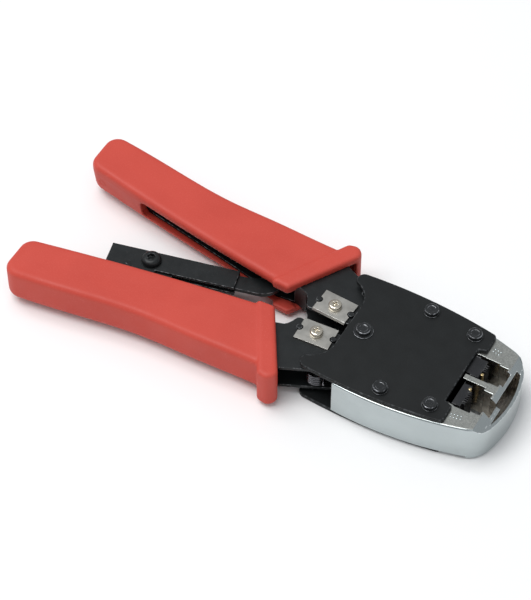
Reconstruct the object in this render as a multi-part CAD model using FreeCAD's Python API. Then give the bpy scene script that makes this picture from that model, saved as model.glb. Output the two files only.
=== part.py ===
import FreeCAD, Part
import math
import os
from FreeCAD import Vector

# Plug crimping tool, lying flat on its side.  X runs from the grips to the nose, Y across the two
# handles and Z up from the surface that the tool lies on.  Every position below is measured from
# the axis of the centre pin, which stands at X = 0, Y = 0 until the finished pieces are moved so
# that the origin is at the middle of the tool's length.

# ---------------------------------------------------------------- overall sizes
tool_length = 212.3          # rear of the grips to the front of the nose
nose_reach = 66.8            # centre pin to the front of the nose
head_height = 21.0           # over the two side plates
plate_thickness = 1.8
sheet = 1.5                  # steel of the levers
washer_thickness = 2.4       # between a side plate and a lever
grip_wall = 3.0              # plastic over the lever's edges
grip_inner_wall = 5.4        # and between the lever and the grip's inner side
grip_top_edge = 2.4          # rounding of the grips' upper edges
grip_low_edge = 5.0          # and of their lower ones
grip_corner = 6.0            # rear corners of the grips
collar_width = 8.4           # raised collar at the front of a grip
collar_raise = 0.6
collar_edge = 1.8
mouth_depth = 7.0            # hollow beside the lever, behind the collar's front

# ---------------------------------------------------------------- pins
centre_pin_radius = 2.5
lever_pin_radius = 2.2
frame_pin_radius = 2.2
lever_pin_x, lever_pin_y = 19.25, 22.35
frame_pin_x, frame_pin_y = 40.0, 19.9
pin_head_radius = 2.95
pin_head_height = 1.6
pin_flange_radius = 3.3
pin_flange_height = 0.5
pin_head_round = 0.5
lever_eye_radius = 3.6       # round the outer pins, on levers and washers
spacer_wall = 1.0
centre_washer_radius = 4.15
spring_pin_radius = 1.2
spring_pin_x, spring_pin_y = -10.0, 20.6
coil_radius, wire_radius, coil_turns, coil_pitch = 3.9, 0.45, 5, 1.15
frame_arm_length, lever_arm_length = 7.0, 9.0   # straight ends of a spring

# ---------------------------------------------------------------- clearances
running = 0.05               # radial, pin in a moving hole
sliding = 0.30               # faces that slide past each other
free = 0.60                  # pieces that only pass by

# ---------------------------------------------------------------- side plates and frame
notch_x, notch_half = 44.2, 14.5
plate_front_x, plate_front_half = 47.7, 22.9
plate_rear_x, plate_rear_half = -7.0, 11.0
plate_corner = 1.4           # rounding of the front corners
notch_lean = 1.1             # the notch widens to the front
plate_flank_x, plate_flank_half = 20.0, 27.7   # the sides bow out to here
horn_x, horn_half = -12.0, 27.2                # rear corners, over the levers
horn_tip_x, horn_tip_half = -15.3, 24.8
horn_end_x, horn_end_half = -14.5, 21.5
hollow_x, hollow_half = -9.6, 18.2             # hollow between horn and middle
arm_wall = 1.9               # side wall of the die-cast frame
arm_rear_x = 0.8
arm_end_slope = 0.3          # the sides draw in a little towards the arms' middle
arm_half = 28.2
arm_middle_x = 30.0
block_rear_x = 27.0          # the frame is solid from here to the nose
carriage_half = 13.4
carriage_waist, carriage_waist_half = 3.9, 9.5   # it narrows towards the lobes
carriage_end_half = 4.7
carriage_travel = 1.6        # room in front of the carriage

# ---------------------------------------------------------------- plug nests
nest_front_x = 58.6
nest_step_x = 54.6
nest_8p_width, nest_8p_top = 11.9, -1.4
nest_6p_width, nest_6p_low = 9.85, 2.9
nest_relief = 0.8            # the nests widen behind the step
web_low, web_high = 0.0, 2.6  # thin wall between the nests
web_rear_x = 44.6
rib_thickness = 2.8
latch_depth = 3.2
latch_half = 3.6
nose_sweep, nose_corner_half = 4.5, 20.8
nose_wall = 1.3              # wall in front of the latch pocket
nose_corner_radius = 12.0
nose_low_z = 0.3             # the nose reaches lower than the block behind it
nose_low_x = 58.0
nose_slope_x = 59.4          # the top slopes down in front of the nests
nose_drop = 3.2
frame_edge = 1.0
pocket_half = 15.0
pocket_split_y = -4.2
rib_offset = 2.2             # the rib stands further forward beside the wide nest

# ---------------------------------------------------------------- dies
die_front_x = 51.2
die_rear_x = 44.0
die_gap = 0.35
tooth_pitch = 1.02
tooth_depth = 1.4
tooth_root, tooth_crest = 0.64, 0.40
tooth_low = 4.0              # the teeth start this far up the die
presser_width, presser_height, presser_back = 4.4, 3.0, 0.4   # it clamps the plug's strain relief
die_screw_radius, die_screw_behind = 1.5, 3.0
die_screw_sunk, die_socket_radius, die_socket_depth = 0.4, 0.7, 1.2
web_slot_depth = 2.2         # slot in the carriage for the wall between the nests
guide_pin_radius = 0.65
carriage_front_x = 46.6
lobe_x, lobe_y, lobe_radius = 8.0, 3.8, 3.0
lobe_gap = 0.08

# ---------------------------------------------------------------- levers, blades and motion
close_angle = 3.3            # degrees that each lever turns until the blades meet
open_angle = 3.0             # degrees that each lever opens past the rest pose
blade_length, blade_width, blade_thickness = 15.2, 11.4, 1.0
blade_front_x = -8.6
blade_meeting_gap = 0.1
blade_screw_radius, blade_screw_height = 2.75, 1.9
blade_screw_shank, blade_screw_round = 1.5, 0.9
cross_length, cross_width, cross_depth = 2.7, 0.55, 1.0
blade_bevel, blade_land = 0.6, 0.15   # ground slope and the flat left under it
blade_notch_radius = 1.6
stud_radius, stud_proud = 1.15, 0.25

# ---------------------------------------------------------------- ratchet link
link_pivot_x, link_pivot_y = -97.0, -4.6
link_angle = 13.2
link_height = 4.5
link_skin = 1.2
link_rear, link_step, link_front = 18.5, 3.0, 37.0
link_near, link_near_rear, link_far = 4.5, 6.6, 5.0
link_screw_radius = 2.0
link_head_radius, link_head_height = 4.2, 2.7
link_head_round, link_socket_floor = 0.75, 0.35   # shares of the head's height
link_socket_turn = 20        # degrees
socket_flats = 3.2
bracket_half, bracket_reach = 5.0, 6.5
link_collar_wall = 1.3
slot_room = 3.2              # slot in the grips, above and below the link
slot_rear_x, slot_front_x = -117.0, -30.0
slot_depth_y = 25.5          # the slots reach this far from the tool's middle line
slot_end_radius = 3.0
window_front_x = -37.6       # opening in the upper lever's web, for the link
rack_pin_x, rack_pin_y = -43.5, 13.5
rack_pin_radius = 1.5
rack_rear, rack_half = 6.0, 3.4
rack_tooth_pitch, rack_tooth_depth = 1.2, 0.6
rack_play = 0.1              # rack in the housing, above and below
rack_side_play = 0.2
eye_play, eye_travel, eye_wall = 0.7, 1.0, 0.9
pawl_pivot_u, pawl_pivot_v, pawl_pin_radius = -9.0, -3.5, 1.0
pawl_reach, pawl_depth = 4.2, 2.3    # its tip past the rack's rear, and below the teeth
pawl_gap, pawl_boss_radius = 0.25, 2.1
pawl_spring_thickness, pawl_spring_length = 0.35, 3.5

# ---------------------------------------------------------------- sizes that follow
middle = head_height / 2
plate_low_z, plate_top_z = plate_thickness, head_height - plate_thickness
lever_low_z = plate_low_z + washer_thickness
lever_top_z = plate_top_z - washer_thickness
blade_top_z = lever_top_z + blade_thickness
grip_low_z, grip_top_z = 2.0, head_height - 0.4
rear_x = nose_reach - tool_length
link_low_z, link_top_z = middle - link_height / 2, middle + link_height / 2
close_rad = math.radians(close_angle)
lever_axis = Vector(lever_pin_x, lever_pin_y, 0)
slot_low_z, slot_top_z = link_low_z - slot_room, link_top_z + slot_room


# ---------------------------------------------------------------- small tools
def outline(points):
    """Closed wire.  A point is (x, y); a pair of points is an arc's middle and end; a list of
    points is a smooth curve through them."""
    edges = []
    start = Vector(points[0][0], points[0][1], 0)
    here = start
    for step in points[1:]:
        if isinstance(step, list):
            curve = Part.BSplineCurve()
            curve.interpolate([here] + [Vector(x, y, 0) for x, y in step])
            there = Vector(step[-1][0], step[-1][1], 0)
            edges.append(curve.toShape())
        elif isinstance(step[0], tuple):
            middle_point = Vector(step[0][0], step[0][1], 0)
            there = Vector(step[1][0], step[1][1], 0)
            edges.append(Part.Arc(here, middle_point, there).toShape())
        else:
            there = Vector(step[0], step[1], 0)
            edges.append(Part.makeLine(here, there))
        here = there
    if here.distanceToPoint(start) > 1e-6:
        edges.append(Part.makeLine(here, start))
    return Part.Wire(edges)


def prism(points, low, high):
    face = Part.Face(outline(points))
    solid = face.extrude(Vector(0, 0, high - low))
    return solid.translated(Vector(0, 0, low))


def box(x0, x1, y0, y1, z0, z1):
    return Part.makeBox(x1 - x0, y1 - y0, z1 - z0, Vector(x0, y0, z0))


def rod(x, y, radius, low, high):
    return Part.makeCylinder(radius, high - low, Vector(x, y, low))


def mirrored(shape):
    return shape.mirror(Vector(0, 0, 0), Vector(0, 1, 0))


def turned(shape, x, y, degrees):
    copy = shape.copy()
    copy.rotate(Vector(x, y, 0), Vector(0, 0, 1), degrees)
    return copy


def reflect(points):
    """The same outline below the centre line, walked the other way round."""
    ends = [p[1] if isinstance(p[0], tuple) else p for p in points]
    result = []
    for i in range(len(points) - 1, -1, -1):
        x, y = ends[i]
        if i < len(points) - 1 and isinstance(points[i + 1][0], tuple):
            mid = points[i + 1][0]
            result.append(((mid[0], -mid[1]), (x, -y)))
        else:
            result.append((x, -y))
    return result


def round_corner(shape, x, y, radius):
    """Round the upright edge nearest to a corner of an outline."""
    upright = [e for e in shape.Edges if e.BoundBox.XLength < 1e-6 and e.BoundBox.YLength < 1e-6]
    edge = min(upright, key=lambda e: math.hypot(e.BoundBox.XMin - x, e.BoundBox.YMin - y))
    return shape.makeFillet(radius, [edge])


def rim_edges(shape, z):
    return [e for e in shape.Edges if e.BoundBox.ZLength < 1e-6 and abs(e.BoundBox.ZMin - z) < 1e-6]


finished = {}


def keep(name, *solids):
    finished[name] = solids[0] if len(solids) == 1 else Part.makeCompound(list(solids))


# ---------------------------------------------------------------- side plates
def side_plate(low):
    corner_start = (plate_front_x - 0.3 * plate_corner, plate_front_half + 0.9 * plate_corner)
    corner_end = (plate_front_x - plate_corner, plate_front_half + 1.3 * plate_corner)
    half = [(notch_x, notch_half), (plate_front_x, notch_half + notch_lean),
            (plate_front_x, plate_front_half), (corner_start, corner_end),
            ((plate_flank_x, plate_flank_half), (horn_x, horn_half)),
            ((horn_tip_x, horn_tip_half), (horn_end_x, horn_end_half)),
            ((hollow_x, hollow_half), (plate_rear_x, plate_rear_half))]
    plate = prism(half + reflect(half), low, low + plate_thickness)
    for x, y, radius in ((0, 0, centre_pin_radius),
                         (lever_pin_x, lever_pin_y, lever_pin_radius),
                         (lever_pin_x, -lever_pin_y, lever_pin_radius),
                         (frame_pin_x, frame_pin_y, frame_pin_radius),
                         (frame_pin_x, -frame_pin_y, frame_pin_radius)):
        plate = plate.cut(rod(x, y, radius, -1, head_height + 1))
    return plate


keep("top_plate", side_plate(plate_top_z))
keep("bottom_plate", side_plate(0))


# ---------------------------------------------------------------- die-cast head frame
def frame_block(inset, low, high):
    """Block inside the frame's outline, drawn in by a wall."""
    half = arm_half - inset
    corner_x, corner_half = nose_reach - nose_sweep - inset, nose_corner_half - inset
    block = prism([(arm_rear_x, -half), ((arm_middle_x, arm_end_slope - half),
                    (corner_x, -corner_half)),
                   ((nose_reach - inset, 0.0), (corner_x, corner_half)),
                   ((arm_middle_x, half - arm_end_slope), (arm_rear_x, half))], low, high)
    for side in (1, -1):
        block = round_corner(block, corner_x, side * corner_half, nose_corner_radius - inset)
    return block


def head_frame():
    body = frame_block(0.0, nose_low_z, plate_top_z)
    rims = [e for z in (nose_low_z, plate_top_z) for e in rim_edges(body, z)
            if e.BoundBox.XMax > arm_rear_x + 1]
    body = body.makeFillet(frame_edge, rims)
    body = body.cut(box(arm_rear_x - 1, nose_low_x, -arm_half - 1, arm_half + 1, 0, plate_low_z))
    slope = Part.Face(Part.makePolygon([
        Vector(nose_slope_x, -arm_half, plate_top_z), Vector(nose_reach, -arm_half, plate_top_z + 1),
        Vector(nose_reach + 1, -arm_half, plate_top_z - nose_drop),
        Vector(nose_slope_x + nose_drop, -arm_half, plate_top_z - nose_drop),
        Vector(nose_slope_x, -arm_half, plate_top_z)]))
    body = body.cut(slope.extrude(Vector(0, 2 * arm_half, 0)))
    inside = arm_half - arm_wall
    body = body.cut(box(arm_rear_x - 1, block_rear_x, -inside, inside, 0, head_height))
    slide_half = carriage_half + sliding
    body = body.cut(box(block_rear_x - 1, carriage_front_x + carriage_travel, -slide_half, slide_half,
                        0, head_height))
    body = body.fuse(box(web_rear_x, nest_front_x, web_low, web_high, plate_low_z, plate_top_z))
    for low, high, away in nests():
        body = body.cut(box(nest_step_x, nest_front_x, low, high, 0, head_height))
        rear_low = web_high if away > 0 else low - nest_relief
        rear_high = high + nest_relief if away > 0 else web_low
        body = body.cut(box(carriage_front_x + 1, nest_step_x, rear_low, rear_high, 0, head_height))
        centre = (low + high) / 2
        depth = latch_depth if away < 0 else latch_depth / 2
        body = body.cut(box(nest_front_x - 1, nest_front_x + depth, centre - latch_half,
                            centre + latch_half, 0, head_height))
    rib_front = nest_front_x + rib_thickness
    rib_step = rib_front + rib_offset
    pocket = [(rib_front, pocket_split_y), (rib_front, pocket_half), (nose_reach, pocket_half),
              (nose_reach, -pocket_half), (rib_step, -pocket_half), (rib_step, pocket_split_y)]
    body = body.cut(prism(pocket, 0, head_height).common(frame_block(nose_wall, 0, head_height)))
    for x, y, radius in ((frame_pin_x, frame_pin_y, frame_pin_radius),
                         (frame_pin_x, -frame_pin_y, frame_pin_radius)):
        body = body.cut(rod(x, y, radius, 0, head_height))
    return body.removeSplitter()


def nests():
    """Lower and upper side of each nest's narrow front part, and which side of the wall it is on."""
    return ((nest_8p_top - nest_8p_width, nest_8p_top, -1),
            (nest_6p_low, nest_6p_low + nest_6p_width, 1))


keep("head_frame", head_frame())


# ---------------------------------------------------------------- pins that tie the head together
def headed_pin(x, y, radius, flange_radius):
    pin = rod(x, y, radius, 0, head_height)
    pin = pin.fuse(rod(x, y, flange_radius, head_height, head_height + pin_flange_height))
    head_low = head_height + pin_flange_height
    head = rod(x, y, pin_head_radius, head_low, head_low + pin_head_height)
    top = [e for e in head.Edges if abs(e.BoundBox.ZMin - head_low - pin_head_height) < 1e-6]
    return pin.fuse(head.makeFillet(pin_head_round, top)).removeSplitter()


centre_pin = headed_pin(0, 0, centre_pin_radius, centre_pin_radius)
keep("centre_pin", centre_pin)
centre_washer = rod(0, 0, centre_washer_radius, head_height, head_height + pin_flange_height)
keep("centre_pin_washer", centre_washer.cut(centre_pin))
keep("upper_lever_pin", headed_pin(lever_pin_x, lever_pin_y, lever_pin_radius, pin_flange_radius))
keep("lower_lever_pin", headed_pin(lever_pin_x, -lever_pin_y, lever_pin_radius, pin_flange_radius))
keep("frame_pins", *[headed_pin(frame_pin_x, side * frame_pin_y, frame_pin_radius, pin_flange_radius)
                     for side in (1, -1)])


def ring(x, y, inner, outer, low, high):
    return rod(x, y, outer, low, high).cut(rod(x, y, inner, low - 1, high + 1))


def lever_washers(side):
    rings = []
    for low, high in ((plate_low_z, lever_low_z - running), (lever_top_z + running, plate_top_z)):
        rings.append(ring(lever_pin_x, side * lever_pin_y, lever_pin_radius, lever_eye_radius,
                          low, high))
    return rings


keep("lever_washers", *(lever_washers(1) + lever_washers(-1)))
keep("centre_spacer", ring(0, 0, centre_pin_radius, centre_pin_radius + spacer_wall,
                           plate_low_z, plate_top_z))


# ---------------------------------------------------------------- carriage and dies
carriage_low, carriage_top = plate_low_z + sliding, plate_top_z - sliding
carriage_rear_x = lobe_x + lobe_radius + lobe_gap
guide_pins = ((49.6, nest_8p_top - 1.9), (50.6, nest_6p_low + 2.6))


def die_span(low, high):
    return low + die_gap, high - die_gap


def die_carriage():
    half = [(carriage_front_x, carriage_half), (block_rear_x + 1.0, carriage_half),
            (carriage_rear_x + carriage_waist, carriage_waist_half),
            (carriage_rear_x, carriage_end_half)]
    block = prism(half + reflect(half), carriage_low, carriage_top)
    block = block.cut(box(web_rear_x - web_slot_depth, carriage_front_x + 1,
                          web_low - free, web_high + free, 0, head_height))
    for low, high, away in nests():
        y0, y1 = die_span(low, high)
        block = block.cut(box(die_rear_x, carriage_front_x + 1, y0, y1, 0, head_height))
        block = block.cut(rod(die_rear_x - die_screw_behind, (y0 + y1) / 2, die_screw_radius,
                              middle, head_height))
    return block


def die(low, high, teeth):
    y0, y1 = die_span(low, high)
    centre = (low + high) / 2
    body = box(die_rear_x, die_front_x - tooth_depth, y0, y1, carriage_low, carriage_top)
    for i in range(teeth):
        y = centre + (i - (teeth - 1) / 2) * tooth_pitch
        if min(abs(y - pin_y) for _, pin_y in guide_pins) < guide_pin_radius + 0.35:
            continue
        root, crest = tooth_root / 2, tooth_crest / 2
        tooth = prism([(die_front_x - tooth_depth, y - root), (die_front_x, y - crest),
                       (die_front_x, y + crest), (die_front_x - tooth_depth, y + root)],
                      carriage_low + tooth_low, carriage_top)
        body = body.fuse(tooth)
    presser = box(die_front_x - tooth_depth, die_front_x - presser_back, centre - presser_width / 2,
                  centre + presser_width / 2, carriage_low, carriage_low + presser_height)
    body = body.fuse(presser)
    for x, y in guide_pins:
        body = body.cut(rod(x, y, guide_pin_radius, 0, head_height))
    return body.removeSplitter()


keep("die_carriage", die_carriage())
(low_8p, high_8p, _), (low_6p, high_6p, _) = nests()
keep("die_8p", die(low_8p, high_8p, 8))
keep("die_6p", die(low_6p, high_6p, 6))
keep("die_guide_pins", *[rod(x, y, guide_pin_radius, carriage_low + 1.0, carriage_top)
                         for x, y in guide_pins])


def die_screw(low, high):
    y0, y1 = die_span(low, high)
    x, y = die_rear_x - die_screw_behind, (y0 + y1) / 2
    top = carriage_top - die_screw_sunk
    screw = rod(x, y, die_screw_radius, middle, top)
    return screw.cut(rod(x, y, die_socket_radius, top - die_socket_depth, head_height))


keep("die_screws", die_screw(low_8p, high_8p), die_screw(low_6p, high_6p))


# ---------------------------------------------------------------- grip and lever outlines
def grip_inner_y(x):
    """Inner face of the upper grip, bowed outwards towards the rear."""
    back = -38.5 - x
    return 5.9 + 0.131 * back + 0.00036 * back * back


def grip_outer_y(x):
    back = -82.0 - x
    return 35.9 + 0.131 * back


grip_waist = [(-82.0, 35.9), (-60.0, 35.4), (-42.0, 34.7), (-30.0, 34.4)]
tip_x, tip_y = -37.8, 5.2            # the collar's front runs from this tip ...
guard_x, guard_y = -19.2, 35.7       # ... out to this corner
front_length = math.hypot(guard_x - tip_x, guard_y - tip_y)
along_x, along_y = (guard_x - tip_x) / front_length, (guard_y - tip_y) / front_length


def behind_front(along, back):
    """Point at a distance along the collar's front line, and behind it."""
    return (tip_x + along * along_x - back * along_y, tip_y + along * along_y + back * along_x)


def grip_outline():
    """Body of the upper grip; its front end lies inside the collar."""
    inner_end = behind_front(0.0, collar_width * 0.7)
    inner_mid = (rear_x + inner_end[0]) / 2
    outer_mid = (rear_x + grip_waist[0][0]) / 2
    return [(inner_end[0], grip_inner_y(inner_end[0])),
            [(inner_mid, grip_inner_y(inner_mid)), (rear_x, grip_inner_y(rear_x))],
            (rear_x, grip_outer_y(rear_x)),
            [(outer_mid, grip_outer_y(outer_mid))] + grip_waist]


def collar_outline():
    outer = behind_front(front_length - 2.0, collar_width)
    return [(tip_x, tip_y), (tip_x - collar_width, tip_y + 0.5), outer,
            behind_front(front_length + 1.4, collar_width * 0.6), (guard_x, guard_y)]


def lever_outline():
    """One flange of the upper lever."""
    end_x = rear_x + grip_corner + grip_wall
    middle_x = (end_x - 46.0) / 2
    return [(-26.0, 3.2), (-8.2, 3.2), (-4.5, 6.2), (5.0, 6.0), (lobe_x, lobe_y), (8.9, lobe_y),
            (lever_pin_x + 0.8, lever_pin_y - 1.0), (lever_pin_x + 0.5, lever_pin_y + 3.0),
            (lever_pin_x - 3.5, lever_pin_y + 1.2), (-2.0, 20.7), (-23.4, 30.4),
            (-31.0, 31.3), (-42.0, 31.6),
            (grip_waist[0][0], grip_waist[0][1] - grip_wall), (end_x, grip_outer_y(end_x) - grip_wall),
            (end_x, grip_inner_y(end_x) + grip_inner_wall),
            ((middle_x, grip_inner_y(middle_x) + grip_inner_wall),
             (-46.0, grip_inner_y(-46.0) + grip_wall + 0.2)),
            (-36.5, 10.9), (-31.2, 9.2), ((-29.2, 6.6), (-28.4, 4.4)), ((-27.6, 3.5), (-26.0, 3.2))]


def lever():
    flanges = []
    points = lever_outline()
    for low, high in ((lever_low_z, lever_low_z + sheet), (lever_top_z - sheet, lever_top_z)):
        plate = prism(points, low, high)
        plate = plate.fuse(rod(lobe_x, lobe_y, lobe_radius, low, high))
        plate = plate.fuse(rod(lever_pin_x, lever_pin_y, lever_eye_radius, low, high))
        flanges.append(plate)
    full = prism(points, lever_low_z, lever_top_z)
    hollow = full.translated(Vector(0, sheet, 0))
    web = full.cut(hollow).common(box(rear_x, -31.0, 0, 60, 0, head_height))
    body = flanges[0].fuse(flanges[1]).fuse(web)
    body = body.cut(rod(lever_pin_x, lever_pin_y, lever_pin_radius + running, 0, head_height))
    body = body.cut(rod(spring_pin_x, spring_pin_y, spring_pin_radius, 0, head_height))
    return body


def grip():
    body = prism(grip_outline(), grip_low_z, grip_top_z - collar_raise)
    for y in (grip_inner_y(rear_x), grip_outer_y(rear_x)):
        body = round_corner(body, rear_x, y, grip_corner)
    for z, radius in ((grip_low_z, grip_low_edge), (grip_top_z - collar_raise, grip_top_edge)):
        rims = [e for e in rim_edges(body, z) if e.BoundBox.XMin < rear_x / 2]
        body = body.makeFillet(radius, rims)
    tip, heel, outer, crest, front = collar_outline()
    collar = prism([tip, heel, outer, crest, front], grip_low_z - collar_raise, grip_top_z)
    for (x, y), radius in ((tip, 1.6), (heel, 1.2), (outer, 2.0), (crest, 3.4), (front, 3.4)):
        collar = round_corner(collar, x, y, radius)
    edges = rim_edges(collar, grip_low_z - collar_raise) + rim_edges(collar, grip_top_z)
    solid = body.fuse(collar.makeFillet(collar_edge, edges))
    mouth = [behind_front(grip_wall + 1, mouth_depth), behind_front(grip_wall + 1, -grip_wall),
             behind_front(front_length - grip_wall, -grip_wall),
             behind_front(front_length - grip_wall, mouth_depth)]
    solid = solid.cut(prism(mouth, lever_low_z, lever_top_z))
    return solid.cut(prism(lever_outline(), lever_low_z, lever_top_z))


upper_lever = lever()
upper_grip = grip()
window_rear_x = slot_rear_x + slot_end_radius
web_window = box(window_rear_x, window_front_x, 0, slot_depth_y, lever_low_z + sheet, lever_top_z - sheet)


def grip_slot():
    slot = box(slot_rear_x, slot_front_x, 0, slot_depth_y, slot_low_z, slot_top_z)
    ends = [e for e in slot.Edges if e.BoundBox.XMax < slot_rear_x + free and e.BoundBox.YLength > free]
    return slot.makeFillet(slot_end_radius, ends)


# ---------------------------------------------------------------- blades and what holds them
def blade_place(shape):
    """From the place with the blades closed to the rest pose."""
    return turned(shape, lever_pin_x, lever_pin_y, -close_angle)


blade_mid_x = blade_front_x - blade_length / 2
blade_mid_y = blade_meeting_gap + blade_width / 2


def blade():
    x0, x1 = blade_front_x - blade_length, blade_front_x
    y0, y1 = blade_meeting_gap, blade_meeting_gap + blade_width
    plate = box(x0, x1, y0, y1, lever_top_z, blade_top_z)
    wedge = Part.Face(Part.makePolygon([Vector(x0 - 1, y0 - 0.01, blade_top_z + 0.01),
                                        Vector(x0 - 1, y0 + blade_bevel, blade_top_z + 0.01),
                                        Vector(x0 - 1, y0 - 0.01, lever_top_z + blade_land),
                                        Vector(x0 - 1, y0 - 0.01, blade_top_z + 0.01)]))
    plate = plate.cut(wedge.extrude(Vector(blade_length + 2, 0, 0)))
    for x in (x0, x1):
        plate = plate.cut(rod(x, blade_mid_y, blade_notch_radius, 0, head_height))
    plate = plate.cut(rod(blade_mid_x, blade_mid_y, blade_screw_shank, 0, head_height))
    return blade_place(plate)


def blade_screw():
    shank = rod(blade_mid_x, blade_mid_y, blade_screw_shank, lever_top_z - sheet, blade_top_z)
    head = rod(blade_mid_x, blade_mid_y, blade_screw_radius, blade_top_z,
               blade_top_z + blade_screw_height)
    top = [e for e in head.Edges if e.BoundBox.ZMin > blade_top_z + 0.5 and e.BoundBox.ZLength < 1e-6]
    head = head.makeFillet(blade_screw_round, top)
    cross_low = blade_top_z + blade_screw_height - cross_depth
    for length, width in ((cross_length, cross_width), (cross_width, cross_length)):
        head = head.cut(box(blade_mid_x - length / 2, blade_mid_x + length / 2,
                            blade_mid_y - width / 2, blade_mid_y + width / 2, cross_low, head_height))
    return blade_place(shank.fuse(head))


def blade_studs():
    studs = []
    for x in (blade_front_x - blade_length, blade_front_x):
        studs.append(blade_place(rod(x, blade_mid_y, stud_radius, lever_top_z - sheet,
                                     blade_top_z + stud_proud)))
    return studs


for shape in [blade_screw()] + blade_studs():
    low_part = shape.common(box(-60, 60, -60, 60, 0, lever_top_z))
    upper_lever = upper_lever.cut(low_part)

keep("upper_blade", blade())
keep("lower_blade", mirrored(blade()))
keep("upper_blade_screw", blade_screw())
keep("lower_blade_screw", mirrored(blade_screw()))
keep("upper_blade_studs", *blade_studs())
keep("lower_blade_studs", *[mirrored(s) for s in blade_studs()])

# the lever is finished before its holes for the link are made
lower_lever = mirrored(upper_lever)
lower_grip = mirrored(upper_grip)
upper_lever = upper_lever.cut(web_window)
upper_lever = upper_lever.cut(rod(rack_pin_x, rack_pin_y, rack_pin_radius, 0, head_height))
upper_grip = upper_grip.cut(grip_slot())
keep("rack_pin", rod(rack_pin_x, rack_pin_y, rack_pin_radius, lever_low_z, lever_top_z))


# ---------------------------------------------------------------- bracket that carries the link
bracket_low = lever_low_z + sheet


def link_bracket():
    inner_y = -grip_inner_y(link_pivot_x) - grip_wall - sheet
    plate = box(link_pivot_x - bracket_half, link_pivot_x + bracket_half, inner_y - bracket_reach,
                link_pivot_y, bracket_low, bracket_low + sheet)
    plate = plate.fuse(rod(link_pivot_x, link_pivot_y, bracket_half, bracket_low, bracket_low + sheet))
    return plate.cut(rod(link_pivot_x, link_pivot_y, link_screw_radius, 0, head_height))


bracket_way = box(link_pivot_x - bracket_half, link_pivot_x + bracket_half, -40, 0,
                  bracket_low, bracket_low + sheet)
lower_lever = lower_lever.cut(bracket_way)
lower_grip = lower_grip.cut(mirrored(grip_slot()))
lower_grip = lower_grip.cut(box(link_pivot_x - bracket_half - free, link_pivot_x + bracket_half + free,
                                -30, 0, bracket_low - free, slot_top_z))
keep("link_bracket", link_bracket())
keep("upper_lever", upper_lever)
keep("lower_lever", lower_lever)
keep("upper_grip", upper_grip)
keep("lower_grip", lower_grip)


# ---------------------------------------------------------------- ratchet link
def link_place(shape):
    """From link coordinates, along and across the link, to the tool."""
    moved = shape.copy()
    moved.translate(Vector(link_pivot_x, link_pivot_y, 0))
    return turned(moved, link_pivot_x, link_pivot_y, link_angle)


def link_housing():
    face = [(-link_rear, -link_near_rear), (link_step, -link_near_rear), (link_step, -link_near),
            (link_front, -link_near), (link_front, link_far), (-link_rear, link_far)]
    body = prism(face, link_low_z, link_top_z)
    low, high = link_low_z + link_skin, link_top_z - link_skin
    body = body.cut(box(-link_rear + link_skin, link_front + 1, -link_near_rear - 1,
                        link_far - link_skin, low, high))
    body = body.cut(rod(0, 0, link_screw_radius + running, 0, head_height))
    body = body.cut(rod(pawl_pivot_u, pawl_pivot_v, pawl_pin_radius, 0, head_height))
    return link_place(body)


rack_low = link_low_z + link_skin + rack_play
rack_top = link_top_z - link_skin - rack_play
cos_link, sin_link = math.cos(math.radians(link_angle)), math.sin(math.radians(link_angle))
reach_x, reach_y = rack_pin_x - link_pivot_x, rack_pin_y - link_pivot_y
eye_u = reach_x * cos_link + reach_y * sin_link
eye_v = -reach_x * sin_link + reach_y * cos_link
rack_far = link_far - link_skin - rack_side_play
eye_radius = rack_pin_radius + eye_play + eye_wall


def long_hole(half_width, low, high):
    """Round-ended block along the link at the rack pin."""
    shape = box(eye_u - eye_travel, eye_u + eye_travel, eye_v - half_width, eye_v + half_width,
                low, high)
    for du in (-eye_travel, eye_travel):
        shape = shape.fuse(rod(eye_u + du, eye_v, half_width, low, high))
    return shape


def link_rack():
    points = [(rack_rear, -rack_half), (eye_u - 10.0, -rack_half),
              ((eye_u - 4.5, -rack_half + 1.6), (eye_u - 1.0, eye_v - 3.2)),
              (eye_u, eye_v), (eye_u - 3.0, eye_v + 2.6),
              ((eye_u - 9.0, rack_far + 1.6), (link_front - 1.0, rack_far)), (rack_rear, rack_far)]
    body = prism(points, rack_low, rack_top)
    body = body.fuse(long_hole(eye_radius, rack_low, rack_top))
    body = body.cut(long_hole(rack_pin_radius + eye_play, 0, head_height))
    u = rack_rear + 2.0
    while u + rack_tooth_pitch < link_front:
        notch = prism([(u, -rack_half - 0.1), (u + rack_tooth_pitch * 0.8, -rack_half - 0.1),
                       (u + 0.1, -rack_half + rack_tooth_depth)], 0, head_height)
        body = body.cut(notch)
        u += rack_tooth_pitch
    return link_place(body)


def pawl():
    tip_u = rack_rear + pawl_reach
    low_v = -rack_half - pawl_depth
    crest_v = -rack_half - pawl_gap
    body = prism([(pawl_pivot_u, pawl_pivot_v - 1.9), (tip_u, low_v), (tip_u, crest_v),
                  (tip_u - 0.5, crest_v), (tip_u - 1.6, -rack_half - 0.9),
                  (link_screw_radius, -rack_half - 0.9), (-link_screw_radius, pawl_pivot_v + 0.6),
                  (pawl_pivot_u, pawl_pivot_v + 1.6)], rack_low, rack_top)
    body = body.fuse(rod(pawl_pivot_u, pawl_pivot_v, pawl_boss_radius, rack_low, rack_top))
    body = body.cut(rod(pawl_pivot_u, pawl_pivot_v, pawl_pin_radius + running, 0, head_height))
    return link_place(body)


def pawl_spring():
    near = -link_near_rear + 0.15
    inner_end = -link_rear + link_skin
    far = near + pawl_spring_thickness
    tip_u = pawl_pivot_u + pawl_spring_length
    return link_place(prism([(inner_end, near), (tip_u, near), (tip_u, far), (inner_end, far)],
                            rack_low + sliding, rack_top - sliding))


keep("link_housing", link_housing())
keep("link_rack", link_rack())
keep("pawl", pawl())
keep("pawl_pin", link_place(rod(pawl_pivot_u, pawl_pivot_v, pawl_pin_radius, link_low_z, link_top_z)))
keep("pawl_spring", pawl_spring())


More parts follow.
